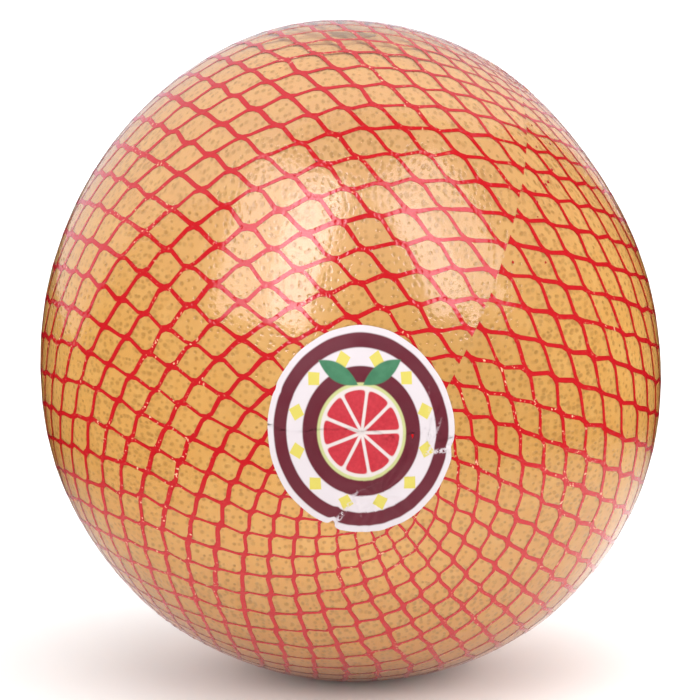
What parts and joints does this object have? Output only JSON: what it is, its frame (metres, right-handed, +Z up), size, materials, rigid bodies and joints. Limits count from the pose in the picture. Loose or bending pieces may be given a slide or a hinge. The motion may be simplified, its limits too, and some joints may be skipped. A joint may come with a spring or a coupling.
{
  "type": "net-wrapped pomelo",
  "caption": "Whole pomelo in a shrunk clear film bag with a printed red net and a round sticker, standing on its blossom end.",
  "frame": {"origin": "on the surface that the wrapped fruit stands on, under its middle", "axes": "+Z up through the stem end, -Y out through the sticker, +X to the right of a viewer who faces the sticker"},
  "size_m": [0.1542, 0.1553, 0.1633],
  "materials": {
    "peel": "waxy yellow citrus peel with fine oil glands",
    "film": "clear glossy shrink film",
    "net_print": "glossy red ink on film",
    "sticker": "coated paper sticker, satin"
  },
  "bodies": {
    "root": {"pomelo": "peel", "film": "film", "net": "net_print", "label": "sticker"}
  },
  "joints": []
}
